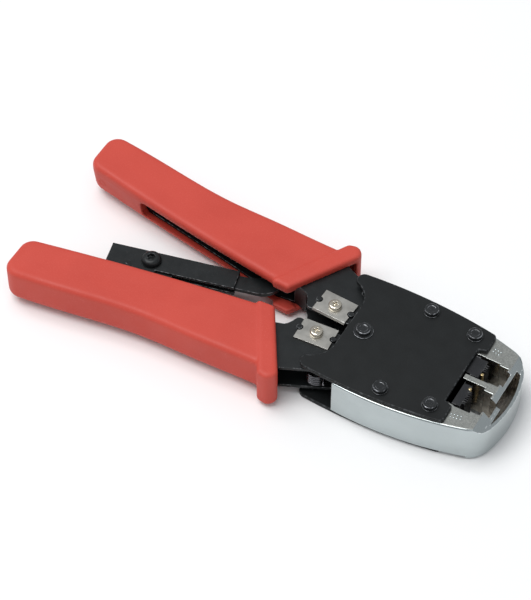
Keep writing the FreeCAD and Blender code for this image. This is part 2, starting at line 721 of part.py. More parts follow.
def link_screw():
    low = bracket_low
    shank = rod(link_pivot_x, link_pivot_y, link_screw_radius, low, link_top_z + running)
    head = rod(link_pivot_x, link_pivot_y, link_head_radius, link_top_z + running,
               link_top_z + running + link_head_height)
    top = [e for e in head.Edges if e.BoundBox.ZLength < 1e-6 and e.BoundBox.ZMin > link_top_z + 1]
    head = head.makeFillet(link_head_height * link_head_round, top)
    corners = []
    for i in range(6):
        angle = math.radians(60 * i + link_socket_turn)
        size = socket_flats / math.sqrt(3)
        corners.append((link_pivot_x + size * math.cos(angle), link_pivot_y + size * math.sin(angle)))
    socket = prism(corners, link_top_z + link_head_height * link_socket_floor, head_height)
    return shank.fuse(head.cut(socket))


keep("link_screw", link_screw())
keep("link_collar", ring(link_pivot_x, link_pivot_y, link_screw_radius,
                         link_screw_radius + link_collar_wall, bracket_low + sheet, link_low_z - running))


# ---------------------------------------------------------------- return springs and their pins
def return_spring():
    low = middle - coil_turns * coil_pitch / 2
    high = low + coil_turns * coil_pitch
    helix = Part.makeHelix(coil_pitch, coil_turns * coil_pitch, coil_radius)
    section = Part.Wire(Part.makeCircle(wire_radius, Vector(coil_radius, 0, 0), Vector(0, 1, 0)))
    coil = Part.Wire(helix).makePipeShell([section], True, True)
    coil.translate(Vector(spring_pin_x, spring_pin_y, low))
    x, y = spring_pin_x + coil_radius, spring_pin_y
    frame_arm = Part.makeCylinder(wire_radius, frame_arm_length, Vector(x, y - 0.5, high),
                                  Vector(0.35, 0.94, 0))
    lever_arm = Part.makeCylinder(wire_radius, lever_arm_length, Vector(x, y + 0.4, low),
                                  Vector(-0.5, -0.87, 0))
    return coil.fuse([frame_arm, lever_arm])


spring = return_spring()
keep("upper_return_spring", spring)
keep("lower_return_spring", mirrored(spring))
spring_pin = rod(spring_pin_x, spring_pin_y, spring_pin_radius, lever_low_z, lever_top_z)
keep("upper_spring_pin", spring_pin)
keep("lower_spring_pin", mirrored(spring_pin))


# ---------------------------------------------------------------- export
centre_pin_x = tool_length / 2 - nose_reach
os.makedirs("parts", exist_ok=True)
for name, shape in finished.items():
    placed = shape.translated(Vector(centre_pin_x, 0, 0))
    placed.exportStep("parts/" + name + ".step")
    print(name, len(placed.Solids), round(placed.Volume, 1), placed.isValid())
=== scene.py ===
import bpy
import bmesh
import math
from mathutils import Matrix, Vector
from mathutils.bvhtree import BVHTree


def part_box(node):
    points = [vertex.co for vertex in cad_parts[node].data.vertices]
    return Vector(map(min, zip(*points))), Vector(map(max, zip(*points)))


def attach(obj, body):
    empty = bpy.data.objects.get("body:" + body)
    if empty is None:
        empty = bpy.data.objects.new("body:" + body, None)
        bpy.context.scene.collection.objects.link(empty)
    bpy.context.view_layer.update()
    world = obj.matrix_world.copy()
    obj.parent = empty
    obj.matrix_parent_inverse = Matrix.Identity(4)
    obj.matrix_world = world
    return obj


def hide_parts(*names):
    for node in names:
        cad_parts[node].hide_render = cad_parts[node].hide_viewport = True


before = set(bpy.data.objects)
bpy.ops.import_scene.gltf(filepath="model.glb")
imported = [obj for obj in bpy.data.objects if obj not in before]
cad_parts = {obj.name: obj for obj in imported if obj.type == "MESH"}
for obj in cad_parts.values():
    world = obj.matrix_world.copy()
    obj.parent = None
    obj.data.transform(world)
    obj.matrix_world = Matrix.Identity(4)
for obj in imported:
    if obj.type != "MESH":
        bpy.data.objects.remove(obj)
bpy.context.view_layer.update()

# ================================================================ camera, table and lamps
# The tool lies on its side on a pale table, under one large soft lamp with a weaker one opposite.
# The camera stands about a metre away with a long lens, high up and a little round to the nose.
camera_azimuth = math.radians(29.64)
camera_elevation = math.radians(50.77)
camera_distance = 0.9807
camera_aim = Vector((-0.0070, 0.0021, 0.0105))
camera_lens = 143.2
table_size = 6.0
paper_light, paper_dark = (0.93, 0.93, 0.93, 1), (0.90, 0.90, 0.90, 1)
paper_clouds_per_metre = 3.0
room_colour = (0.94, 0.97, 1.0, 1)
room_strength = 0.50


def away(azimuth, elevation):
    """Unit vector from the tool towards something at that azimuth and elevation."""
    level = math.cos(elevation)
    return Vector((math.sin(azimuth) * level, -math.cos(azimuth) * level, math.sin(elevation)))


def facing(direction):
    return (-direction).to_track_quat("-Z", "Y")


def set_up_camera():
    lens = bpy.data.cameras.new("camera")
    lens.lens = camera_lens
    camera = bpy.data.objects.new("camera", lens)
    camera.rotation_mode = "QUATERNION"
    direction = away(camera_azimuth, camera_elevation)
    camera.location = camera_aim + direction * camera_distance
    camera.rotation_quaternion = facing(direction)
    bpy.context.collection.objects.link(camera)
    bpy.context.scene.camera = camera


def soft_lamp(name, azimuth, elevation, distance, size, watts):
    lamp = bpy.data.lights.new(name, "AREA")
    lamp.size = size
    lamp.energy = watts
    holder = bpy.data.objects.new(name, lamp)
    holder.rotation_mode = "QUATERNION"
    direction = away(math.radians(azimuth), math.radians(elevation))
    holder.location = direction * distance
    holder.rotation_quaternion = facing(direction)
    bpy.context.collection.objects.link(holder)


def add(tree, kind, inputs=None, **settings):
    """Add a node.  An input is given a value, or linked where it is another node's socket."""
    node = tree.nodes.new(kind)
    for key, value in settings.items():
        setattr(node, key, value)
    for key, value in (inputs or {}).items():
        if isinstance(value, bpy.types.NodeSocket):
            tree.links.new(value, node.inputs[key])
        else:
            node.inputs[key].default_value = value
    return node


def start_material(name):
    """An empty material with its shader and the object's own coordinates."""
    made = bpy.data.materials.new(name)
    made.use_nodes = True
    tree = made.node_tree
    tree.nodes.clear()
    shader = add(tree, "ShaderNodeBsdfPrincipled")
    add(tree, "ShaderNodeOutputMaterial", {"Surface": shader.outputs["BSDF"]})
    place = add(tree, "ShaderNodeTexCoord").outputs["Object"]
    return made, tree, shader, place


def lay_table():
    sheet, tree, shader, place = start_material("table_paper")
    cloud = add(tree, "ShaderNodeTexNoise", {"Vector": place, "Scale": paper_clouds_per_metre,
                                             "Detail": 2.0})
    tone = add(tree, "ShaderNodeMix", {"Factor": cloud.outputs["Fac"], "A": paper_light,
                                       "B": paper_dark}, data_type="RGBA")
    tree.links.new(tone.outputs["Result"], shader.inputs["Base Color"])
    shader.inputs["Roughness"].default_value = 0.9
    shader.inputs["Specular IOR Level"].default_value = 0.1
    half = table_size / 2
    corners = [(-half, -half, 0), (half, -half, 0), (half, half, 0), (-half, half, 0)]
    mesh = bpy.data.meshes.new("table")
    mesh.from_pydata(corners, [], [(0, 1, 2, 3)])
    mesh.materials.append(sheet)
    table = bpy.data.objects.new("table", mesh)
    bpy.context.collection.objects.link(table)


def light_room():
    room = bpy.data.worlds.new("room")
    room.use_nodes = True
    glow = room.node_tree.nodes["Background"]
    glow.inputs["Color"].default_value = room_colour
    glow.inputs["Strength"].default_value = room_strength
    bpy.context.scene.world = room
    soft_lamp("key_lamp", azimuth=-70, elevation=70, distance=1.5, size=1.1, watts=17.5)
    soft_lamp("fill_lamp", azimuth=60, elevation=40, distance=1.6, size=1.2, watts=1.5)
    bpy.context.scene.view_settings.view_transform = "Standard"


set_up_camera()
lay_table()
light_room()

# ================================================================ head frame
# One polished zinc casting carries the whole head: two plug nests with a thin wall between them,
# a pocket behind the nose, and two side walls.  The mould leaves its edges soft, its top is sanded
# and the walls inside it are left dull.
mm = 0.001
weld = 0.001 * mm             # points closer than this are one point
middle = (0.3, 0.7)           # the span in which nearly all of a noise's values lie
centre = (0.35, 0.65)         # a narrower span, for blotches that stand out more


def plain_noise(tree, place, size, detail):
    return add(tree, "ShaderNodeTexNoise", {"Vector": place, "Scale": 1 / size, "Detail": detail})


def blend_colour(tree, factor, first, second):
    mix = add(tree, "ShaderNodeMix", {"Factor": factor, "A": first, "B": second}, data_type="RGBA")
    return mix.outputs["Result"]


def spread(tree, factor, low, high, start, end):
    """Map the span start..end onto low..high."""
    shaped = add(tree, "ShaderNodeMapRange", {"Value": factor, "From Min": start, "From Max": end,
                                              "To Min": low, "To Max": high})
    return shaped.outputs["Result"]


def times(tree, first, second):
    return add(tree, "ShaderNodeMath", {0: first, 1: second}, operation="MULTIPLY").outputs[0]


def metal_finish(name, colour, rubbed_and_highlit, metallic, roughness, uneven, grain, relief,
                 speckle=0.0, specular=0.5, brushed=None, cloud=0.16):
    """A finish blotchy in tone and gloss, grained, and lighter on rounded edges: scuffed bare metal
    plus a painted highlight.
    """
    cloud_size, speck_size, wear_size, haze_size = 7 * mm, 0.35 * mm, 1.6 * mm, 3 * mm
    made, tree, shader, place = start_material(name)
    blotch = plain_noise(tree, place, cloud_size, 4.0).outputs["Fac"]
    dark = tuple((1 - cloud) * c for c in colour) + (1,)
    light = tuple(min(1.0, (1 + cloud) * c) for c in colour) + (1,)
    tone = blend_colour(tree, spread(tree, blotch, 0, 1, *middle), dark, light)
    if speckle:
        specks = plain_noise(tree, place, speck_size, 1.0).outputs["Fac"]
        bare_spots = spread(tree, specks, 0, speckle, 0.60, 0.72)
        tone = blend_colour(tree, bare_spots, tone, tuple(rubbed_and_highlit) + (1,))
    # Rounded edges are painted lighter in patches: partly scuffed bare metal, partly a painted
    # highlight.
    edge = add(tree, "ShaderNodeAttribute", attribute_name="edge_wear_and_highlight").outputs["Fac"]
    scuffs = plain_noise(tree, place, wear_size, 5.0).outputs["Fac"]
    wear_and_highlight_mask = times(tree, edge, spread(tree, scuffs, 0, 1, 0.46, 0.62))
    tone = blend_colour(tree, wear_and_highlight_mask, tone, tuple(rubbed_and_highlit) + (1,))
    tree.links.new(tone, shader.inputs["Base Color"])
    shader.inputs["Metallic"].default_value = metallic
    shader.inputs["Specular IOR Level"].default_value = specular
    haze = plain_noise(tree, place, haze_size, 5.0).outputs["Fac"]
    gloss = spread(tree, haze, roughness - uneven, roughness + uneven, *middle)
    tree.links.new(gloss, shader.inputs["Roughness"])
    if brushed:
        stretch = add(tree, "ShaderNodeMapping", {"Vector": place, "Scale": brushed})
        place = stretch.outputs["Vector"]
    grains = plain_noise(tree, place, grain, 3.0).outputs["Fac"]
    bump = add(tree, "ShaderNodeBump", {"Height": grains, "Distance": relief, "Strength": 1.0})
    tree.links.new(bump.outputs["Normal"], shader.inputs["Normal"])
    return made


def softened(name, node, width, segments, crease):
    """A copy of a node's mesh with its sharp edges rounded; the new faces are marked for scuffing
    and a painted edge highlight.
    """
    speck_edge, flat_turn = 0.01 * mm, math.radians(0.4)
    sliver = (0.35 * mm) ** 2          # the casting's own slivers are too thin to round
    shell = bmesh.new()
    shell.from_mesh(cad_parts[node].data)
    bmesh.ops.remove_doubles(shell, verts=shell.verts, dist=weld)
    bmesh.ops.dissolve_degenerate(shell, dist=speck_edge, edges=shell.edges)
    bmesh.ops.dissolve_limit(shell, angle_limit=flat_turn, verts=shell.verts, edges=shell.edges)
    skin = BVHTree.FromBMesh(shell)
    wear_and_highlight_layer = shell.faces.layers.float.new("edge_wear_and_highlight")
    sharp = [e for e in shell.edges
             if len(e.link_faces) == 2 and e.calc_face_angle(0) > math.radians(crease)
             and (node != "head_frame" or min(f.calc_area() for f in e.link_faces) > sliver)]
    rounded = bmesh.ops.bevel(shell, geom=sharp, offset=width, offset_type="OFFSET",
                              segments=segments, profile=0.5, affect="EDGES", clamp_overlap=False)
    for face in rounded["faces"]:
        face[wear_and_highlight_layer] = 1.0
    for vert in shell.verts:           # a corner that shot out past the rounding goes back
        spot, _, _, gap = skin.find_nearest(vert.co)
        if gap > width:
            vert.co = spot
    mesh = bpy.data.meshes.new(name)
    shell.to_mesh(mesh)
    shell.free()
    if "custom_normal" in mesh.attributes:
        mesh.attributes.remove(mesh.attributes["custom_normal"])
    return mesh


def place_piece(name, mesh, finish, body, slot, *nodes):
    """Put a finished mesh in the scene, moving with its body and standing for its nodes."""
    sharpest_smooth = math.radians(50)
    mesh.materials.clear()
    mesh.materials.append(finish)
    mesh.shade_smooth()
    mesh.set_sharp_from_angle(angle=sharpest_smooth)
    piece = bpy.data.objects.new(name, mesh)
    bpy.context.collection.objects.link(piece)
    even = piece.modifiers.new("even_shading", "WEIGHTED_NORMAL")
    even.keep_sharp = True
    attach(piece, body)
    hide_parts(*nodes)


def softened_piece(name, node, width, finish, body, slot, segments=2, crease=40):
    mesh = softened(name, node, width, segments, crease)
    place_piece(name, mesh, finish, body, slot, node)


def mark_zones(mesh):
    """Face values: zone_top is 1 on the sanded top, zone_inside 1 on walls of nests and pocket."""
    top_depth, just_off, widest_hollow = 0.5 * mm, 0.1 * mm, 30 * mm
    die_low, frame_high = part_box("die_carriage")[0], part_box("head_frame")[1]
    top = mesh.attributes.new("zone_top", "FLOAT", "FACE")
    inside = mesh.attributes.new("zone_inside", "FLOAT", "FACE")
    skin = BVHTree.FromPolygons([v.co for v in mesh.vertices],
                                [tuple(face.vertices) for face in mesh.polygons])
    for face in mesh.polygons:
        spot, way = face.center, face.normal
        level, upright = way.z > 0.95, abs(way.z) < 0.6
        top.data[face.index].value = float(level and spot.z > frame_high[2] - top_depth)
        opposite = skin.ray_cast(spot + way * just_off, way, widest_hollow)[0]
        walled = opposite is not None and upright and spot.x > die_low[0]
        inside.data[face.index].value = float(walled)


def zinc_finish():
    """Polished outside; a sanded, greyer top and duller walls inside with a painted warm, dark
    reflection.
    """
    top_duller, inside_duller = 0.14, 0.12
    sanded_dark, sanded_light = (0.34, 0.35, 0.33, 1), (0.50, 0.51, 0.48, 1)
    wall_reflection_dark, wall_reflection_light = (0.36, 0.32, 0.27, 1), (0.58, 0.54, 0.47, 1)
    made = metal_finish("polished_zinc", colour=(0.475, 0.520, 0.525), rubbed_and_highlit=(0.84, 0.87, 0.87),
                        metallic=1.0, roughness=0.15, uneven=0.03, grain=1.4 * mm,
                        relief=0.003 * mm, cloud=0.03)
    tree = made.node_tree
    shader = next(node for node in tree.nodes if node.type == "BSDF_PRINCIPLED")
    tone = shader.inputs["Base Color"].links[0].from_socket
    gloss = shader.inputs["Roughness"].links[0].from_socket
    place = add(tree, "ShaderNodeTexCoord").outputs["Object"]
    top = add(tree, "ShaderNodeAttribute", attribute_name="zone_top").outputs["Fac"]
    inside = add(tree, "ShaderNodeAttribute", attribute_name="zone_inside").outputs["Fac"]
    sanded = plain_noise(tree, place, 0.5 * mm, 4.0).outputs["Fac"]
    satin = blend_colour(tree, spread(tree, sanded, 0, 1, *centre), sanded_dark, sanded_light)
    # Walls inside the nests and the pocket are painted darker and warmer: a painted reflection.
    wall_reflection_noise = plain_noise(tree, place, 4 * mm, 3.0).outputs["Fac"]
    painted_wall_reflection = blend_colour(tree, spread(tree, wall_reflection_noise, 0, 1, *centre), wall_reflection_dark, wall_reflection_light)
    tone = blend_colour(tree, top, tone, satin)
    tone = blend_colour(tree, inside, tone, painted_wall_reflection)
    tree.links.new(tone, shader.inputs["Base Color"])
    for zone, duller in ((top, top_duller), (inside, inside_duller)):
        summed = add(tree, "ShaderNodeMath", {0: gloss, 1: times(tree, zone, duller)},
                     operation="ADD")
        gloss = summed.outputs[0]
    tree.links.new(gloss, shader.inputs["Roughness"])
    return made


polished_zinc = zinc_finish()
cast_mesh = softened("cast_head_frame", "head_frame", 0.22 * mm, segments=3, crease=40)
mark_zones(cast_mesh)
place_piece("cast_head_frame", cast_mesh, polished_zinc, "head", "polished_frame", "head_frame")

# ================================================================ raised marks on the frame
# Beside each nest the casting carries small raised dots that tell the hand which nest is which.
# They come out of the mould with the frame: eight in two rows for the wide nest, six for the other.


def begin_tree(name, sockets):
    """A node group with one geometry in and out, and a named input for each size."""
    tree = bpy.data.node_groups.new(name, "GeometryNodeTree")
    for way in ("INPUT", "OUTPUT"):
        tree.interface.new_socket("Geometry", in_out=way, socket_type="NodeSocketGeometry")
    for label, kind in sockets:
        tree.interface.new_socket(label, in_out="INPUT", socket_type="NodeSocket" + kind)
    return tree, tree.nodes.new("NodeGroupInput").outputs


def end_tree(tree, copies, finish):
    whole = add(tree, "GeometryNodeRealizeInstances", {"Geometry": copies})
    dressed = add(tree, "GeometryNodeSetMaterial", {"Geometry": whole.outputs["Geometry"],
                                                    "Material": finish})
    add(tree, "NodeGroupOutput", {"Geometry": dressed.outputs["Geometry"]})


def grow(name, start_mesh, tree, values):
    """Run a node group on a mesh and return the plain mesh that comes out."""
    carrier = bpy.data.objects.new(name, start_mesh)
    bpy.context.collection.objects.link(carrier)
    step = carrier.modifiers.new("grow", "NODES")
    step.node_group = tree
    for socket in tree.interface.items_tree:
        if socket.in_out == "INPUT" and socket.name in values:
            step[socket.identifier] = values[socket.name]
    bpy.context.view_layer.update()
    evaluated = carrier.evaluated_get(bpy.context.evaluated_depsgraph_get())
    grown = bpy.data.meshes.new_from_object(evaluated)
    carrier.modifiers.clear()
    bpy.data.objects.remove(carrier)
    return grown


def dots_tree():
    tree, given = begin_tree("raised_dots", (("Length", "Float"), ("Breadth", "Float"),
                                             ("Columns", "Int"), ("Rows", "Int"),
                                             ("Radius", "Float"), ("Place", "Vector"),
                                             ("Turn", "Vector"), ("Finish", "Material")))
    grid = add(tree, "GeometryNodeMeshGrid", {"Size X": given["Length"], "Size Y": given["Breadth"],
                                              "Vertices X": given["Columns"],
                                              "Vertices Y": given["Rows"]})
    laid = add(tree, "GeometryNodeTransform", {"Geometry": grid.outputs["Mesh"],
                                               "Translation": given["Place"],
                                               "Rotation": given["Turn"]})
    dome = add(tree, "GeometryNodeMeshUVSphere", {"Segments": 16, "Rings": 10,
                                                  "Radius": given["Radius"]})
    copies = add(tree, "GeometryNodeInstanceOnPoints", {"Points": laid.outputs["Geometry"],
                                                        "Instance": dome.outputs["Mesh"],
                                                        "Scale": (1.0, 1.0, 0.6)})
    end_tree(tree, copies.outputs["Instances"], given["Finish"])
    return tree


dots = dots_tree()
dot_radius = 0.42 * mm
dot_pitch = 1.35 * mm
dot_row_gap = 1.5 * mm
marks_across = 18.4 * mm      # from the head's middle line to the middle of each group
marks_back = 4.2 * mm         # back from midway between the frame pins' edge and the nose
marks_turn = math.radians(12)
frame_high, pin_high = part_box("head_frame")[1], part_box("frame_pins")[1]
mark_x = (pin_high[0] + frame_high[0]) / 2 - marks_back
for nest, side, columns in (("wide_nest", -1, 4), ("narrow_nest", 1, 3)):
    mesh = grow(nest + "_dots", bpy.data.meshes.new(nest + "_start"), dots,
                {"Length": (columns - 1) * dot_pitch, "Breadth": dot_row_gap,
                 "Columns": columns, "Rows": 2, "Radius": dot_radius,
                 "Place": (mark_x, side * marks_across, frame_high[2]),
                 "Turn": (0.0, 0.0, -marks_turn * side), "Finish": polished_zinc})
    mesh.shade_smooth()
    piece = bpy.data.objects.new(nest + "_dots", mesh)
    bpy.context.collection.objects.link(piece)
    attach(piece, "head")

# ================================================================ dies and their carriage
# The carriage is a hardened block that slides in the frame.  Each die is a toothed insert in its
# front, held by a small socket screw; two brass pins steady the teeth.
die_black = metal_finish("blued_tool_steel", colour=(0.030, 0.031, 0.034),
                         rubbed_and_highlit=(0.20, 0.20, 0.20), metallic=0.6, roughness=0.34, uneven=0.08,
                         grain=0.5 * mm, relief=0.006 * mm, speckle=0.15)
turned_brass = metal_finish("turned_brass", colour=(0.72, 0.55, 0.28), rubbed_and_highlit=(0.92, 0.80, 0.52),
                            metallic=1.0, roughness=0.24, uneven=0.06, grain=0.2 * mm,
                            relief=0.003 * mm)
for node, width in (("die_carriage", 0.3 * mm), ("die_8p", 0.08 * mm), ("die_6p", 0.08 * mm)):
    softened_piece("steel_" + node, node, width, die_black, "die_slide", "tool_steel")
softened_piece("brass_guide_pins", "die_guide_pins", 0.12 * mm, turned_brass, "die_slide", "brass")
softened_piece("die_clamp_screws", "die_screws", 0.15 * mm, die_black, "die_slide", "black_pin")

# ================================================================ levers
# Each handle's core is a folded steel channel, blued black.  It is scuffed to bare metal along the
# blanked edges near the blades, and its rounded edges are painted lighter in patches, partly as
# that bare metal and partly as a painted highlight.  The washers and the spacer tube have the same
# finish.
blued_steel = metal_finish("blued_steel", colour=(0.013, 0.015, 0.016), rubbed_and_highlit=(0.22, 0.23, 0.24),
                           metallic=0.25, roughness=0.36, uneven=0.06, grain=0.6 * mm,
                           relief=0.004 * mm, speckle=0.06, specular=0.34)
for side in ("upper", "lower"):
    softened_piece(side + "_steel_lever", side + "_lever", 0.22 * mm, blued_steel,
                   side + "_handle", "blackened_steel", segments=3)
softened_piece("washers", "lever_washers", 0.15 * mm, blued_steel, "head", "black_pin")
softened_piece("spacer_tube", "centre_spacer", 0.2 * mm, blued_steel, "head", "black_pin")

# ================================================================ blades
# Two ground steel blades face each other across the gap.  Each sits on its lever between two
# locating studs and is held by one nickel-plated cross-head screw.
ground_steel = metal_finish("ground_steel", colour=(0.44, 0.43, 0.40), rubbed_and_highlit=(0.82, 0.81, 0.78),
                            metallic=1.0, roughness=0.36, uneven=0.06, grain=0.25 * mm,
                            relief=0.006 * mm, brushed=(0.15, 3.0, 1.0))
warm_nickel = metal_finish("warm_nickel", colour=(0.66, 0.61, 0.52), rubbed_and_highlit=(0.88, 0.85, 0.78),
                           metallic=1.0, roughness=0.17, uneven=0.05, grain=0.5 * mm,
                           relief=0.006 * mm)
for side in ("upper", "lower"):
    for part, width, finish, slot in (("blade", 0.06 * mm, ground_steel, "blade_steel"),
                                      ("blade_screw", 0.10 * mm, warm_nickel, "nickel_screw"),
                                      ("blade_studs", 0.15 * mm, blued_steel, "black_pin")):
        node = side + "_" + part
        softened_piece("set_" + node, node, width, finish, side + "_handle", slot)

# ================================================================ return springs
# A torsion spring of dark music wire sits round a pin inside each lever and pushes the handles
# apart.
music_wire = metal_finish("music_wire", colour=(0.13, 0.13, 0.14), rubbed_and_highlit=(0.5, 0.5, 0.5),
                          metallic=1.0, roughness=0.24, uneven=0.06, grain=0.4 * mm,
                          relief=0.004 * mm)
for side in ("upper", "lower"):
    softened_piece(side + "_wire_spring", side + "_return_spring", 0.03 * mm, music_wire,
                   side + "_handle", "spring_steel", segments=1, crease=60)
    softened_piece(side + "_spring_peg", side + "_spring_pin", 0.15 * mm, blued_steel,
                   side + "_handle", "black_pin")

# ================================================================ side plates
# Two blanked steel plates, powder-coated satin black, close the head.  Their edges roll over
# slightly from the press and the coating is thin there.
satin_black = metal_finish("satin_black_coat", colour=(0.0085, 0.0098, 0.0103),
                           rubbed_and_highlit=(0.060, 0.064, 0.068), metallic=0.0, roughness=0.46,
                           uneven=0.04, grain=0.45 * mm, relief=0.008 * mm, speckle=0.12,
                           specular=0.22)
for side in ("top", "bottom"):
    softened_piece(side + "_side_plate", side + "_plate", 0.45 * mm, satin_black, "head",
                   "black_plate", segments=3)

# ================================================================ headed pins
# Five turned pins tie the plates together.  Each has a raised button head with a dished top and a
# rounded rim, on a low flange or, at the centre pin, on a loose ring.  Its other end is riveted
# flush with the bottom plate.
oiled_black = metal_finish("oiled_black", colour=(0.028, 0.030, 0.032), rubbed_and_highlit=(0.30, 0.31, 0.33),
                           metallic=0.55, roughness=0.20, uneven=0.05, grain=0.7 * mm,
                           relief=0.012 * mm, speckle=0.12, specular=0.6)
pin_facets = 48
pivot_shank, pin_shank = 2.5 * mm, 2.2 * mm
pin_flange = 3.3 * mm
plate_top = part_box("top_plate")[1][2]


def pin_tree():
    tree, given = begin_tree("turned_pins", (("Facets", "Int"), ("Along", "Float"),
                                             ("Across", "Float"), ("Pins", "Int"),
                                             ("Finish", "Material")))
    axis_radius = 0.0001 * mm          # next to nothing, so that the outline turns on its axis
    half = add(tree, "GeometryNodeMeshToCurve", {"Mesh": given["Geometry"]})
    path = add(tree, "GeometryNodeCurvePrimitiveCircle", {"Resolution": given["Facets"],
                                                          "Radius": axis_radius})
    skin = add(tree, "GeometryNodeCurveToMesh", {"Curve": path.outputs["Curve"],
                                                 "Profile Curve": half.outputs["Curve"]})
    closed = add(tree, "GeometryNodeMergeByDistance", {"Geometry": skin.outputs["Mesh"],
                                                       "Distance": weld})
    minus = add(tree, "ShaderNodeMath", {0: given["Across"], 1: -1.0}, operation="MULTIPLY")
    first = add(tree, "ShaderNodeCombineXYZ", {"X": given["Along"], "Y": minus.outputs[0]})
    last = add(tree, "ShaderNodeCombineXYZ", {"X": given["Along"], "Y": given["Across"]})
    row = add(tree, "GeometryNodeMeshLine", {"Count": given["Pins"],
                                             "Start Location": first.outputs["Vector"],
                                             "Offset": last.outputs["Vector"]}, mode="END_POINTS")
    copies = add(tree, "GeometryNodeInstanceOnPoints", {"Points": row.outputs["Mesh"],
                                                        "Instance": closed.outputs["Geometry"]})
    end_tree(tree, copies.outputs["Instances"], given["Finish"])
    return tree


def rounded_rim(radius, top, edge):
    """Points over an outer edge, from the top face round to the side."""
    turns = [math.radians(90 * i / 5) for i in range(6)]
    return [(radius - edge * (1 - math.sin(t)), top - edge * (1 - math.cos(t))) for t in turns]


def pin_half(shank, flange, top, low):
    """Half outline of a pin from the middle of its head down to its riveted end."""
    head, head_edge, head_foot, undercut = 2.95 * mm, 0.38 * mm, 0.12 * mm, 0.15 * mm
    flange_height, flange_edge, end_edge = 0.5 * mm, 0.16 * mm, 0.2 * mm
    dish_depth, dish_ease = 0.16 * mm, 0.02 * mm
    dish_middle, dish_floor, dish_foot, dish_brow, dish_edge = (
        r * mm for r in (0.9, 1.55, 1.62, 1.78, 1.85))
    seat, dish = plate_top + flange_height, top - dish_depth
    line = [(0, dish), (dish_middle, dish), (dish_floor, dish), (dish_foot, dish + dish_ease),
            (dish_brow, top - dish_ease), (dish_edge, top)]
    line += rounded_rim(head, top, head_edge) + [(head, seat + head_foot), (head - undercut, seat)]
    if flange:
        line += rounded_rim(flange, seat, flange_edge) + [(flange, plate_top), (shank, plate_top)]
    else:
        line += [(shank, seat)]
    line += [(shank, low + end_edge), (shank - end_edge, low), (0, low)]
    mesh = bpy.data.meshes.new("pin_half")
    mesh.from_pydata([(radius, -height, 0) for radius, height in line],
                     [(i, i + 1) for i in range(len(line) - 1)], [])
    return mesh


def paint_rim_highlights(mesh):
    """The rounded rims of head and flange are marked for a painted highlight, in patches."""
    flattest, steepest = 0.93, 0.15
    wear_and_highlight_layer = mesh.attributes.new("edge_wear_and_highlight", "FLOAT", "FACE")
    for face in mesh.polygons:
        rim = steepest < face.normal.z < flattest and face.center.z > plate_top
        wear_and_highlight_layer.data[face.index].value = float(rim)


pins = pin_tree()
for name, nodes, shank, flange, count in (
        ("centre_pivot_pin", ("centre_pin",), pivot_shank, 0, 1),
        ("lever_pivot_pins", ("upper_lever_pin", "lower_lever_pin"), pin_shank, pin_flange, 2),
        ("frame_tie_pins", ("frame_pins",), pin_shank, pin_flange, 2)):
    low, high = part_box(nodes[0])
    if count == 1:
        across = 0.0
    elif len(nodes) == count:          # the node's box holds one pin
        across = (low[1] + high[1]) / 2
    else:                              # the node's box holds both pins, out to their flanges
        across = high[1] - flange
    mesh = grow(name, pin_half(shank, flange, high[2], low[2]), pins,
                {"Facets": pin_facets, "Along": (low[0] + high[0]) / 2, "Across": across,
                 "Pins": count, "Finish": oiled_black})
    paint_rim_highlights(mesh)
    place_piece(name, mesh, oiled_black, "head", "black_pin", *nodes)
softened_piece("centre_pin_ring", "centre_pin_washer", 0.14 * mm, oiled_black, "head",
               "black_pin", segments=3)

# ================================================================ grips
# Each grip is moulded in soft red plastic over its lever.  The mould leaves every edge round, and
# the front is a raised collar that keeps the hand off the head.
red_dark, red_light = (0.515, 0.050, 0.031, 1), (0.550, 0.057, 0.036, 1)
red_ridge_highlight, red_crease_shade = (0.64, 0.11, 0.085, 1), (0.33, 0.030, 0.024, 1)
red_speck = (0.68, 0.15, 0.12, 1)


def red_plastic():
    """Red with a painted highlight on ridges and painted shade in creases, a fine grain and slow
    swells.
    """
    cloud_size, speck_size, haze_size = 22 * mm, 0.5 * mm, 9 * mm
    grain_size, swell_size = 0.55 * mm, 12 * mm
    made, tree, shader, place = start_material("red_soft_plastic")
    blotch = plain_noise(tree, place, cloud_size, 4.0).outputs["Fac"]
    tone = blend_colour(tree, spread(tree, blotch, 0, 1, *centre), red_dark, red_light)
    # Ridges get a painted highlight and creases get painted shade, found from the mesh's
    # pointiness.
    bend = add(tree, "ShaderNodeNewGeometry").outputs["Pointiness"]
    ridge_highlight = spread(tree, bend, 0, 0.55, 0.51, 0.56)
    tone = blend_colour(tree, ridge_highlight, tone, red_ridge_highlight)
    crease = spread(tree, bend, 0.6, 0, 0.44, 0.49)
    tone = blend_colour(tree, crease, tone, red_crease_shade)
    specks = plain_noise(tree, place, speck_size, 2.0).outputs["Fac"]
    tone = blend_colour(tree, spread(tree, specks, 0, 0.25, 0.55, 0.75), tone, red_speck)
    tree.links.new(tone, shader.inputs["Base Color"])
    haze = plain_noise(tree, place, haze_size, 5.0).outputs["Fac"]
    tree.links.new(spread(tree, haze, 0.50, 0.62, *middle), shader.inputs["Roughness"])
    shader.inputs["Specular IOR Level"].default_value = 0.42
    grains = plain_noise(tree, place, grain_size, 3.0).outputs["Fac"]
    swell = plain_noise(tree, place, swell_size, 2.0).outputs["Fac"]
    coarse = add(tree, "ShaderNodeBump", {"Height": swell, "Distance": 0.25 * mm, "Strength": 1.0})
    fine = add(tree, "ShaderNodeBump", {"Height": grains, "Distance": 0.030 * mm, "Strength": 1.0,
                                        "Normal": coarse.outputs["Normal"]})
    tree.links.new(fine.outputs["Normal"], shader.inputs["Normal"])
    return made


red_grip = red_plastic()
mould_step = 0.48 * mm
mould_draft = 2.2 * mm        # the inner side leans outwards towards the table
draft_start = 5.0 * mm        # below the grip's top
draft_clear = 26 * mm         # back from the grip's front, where the collar ends
draft_run = 20 * mm           # over which the lean grows to its full amount
skin_depth = 1.0 * mm


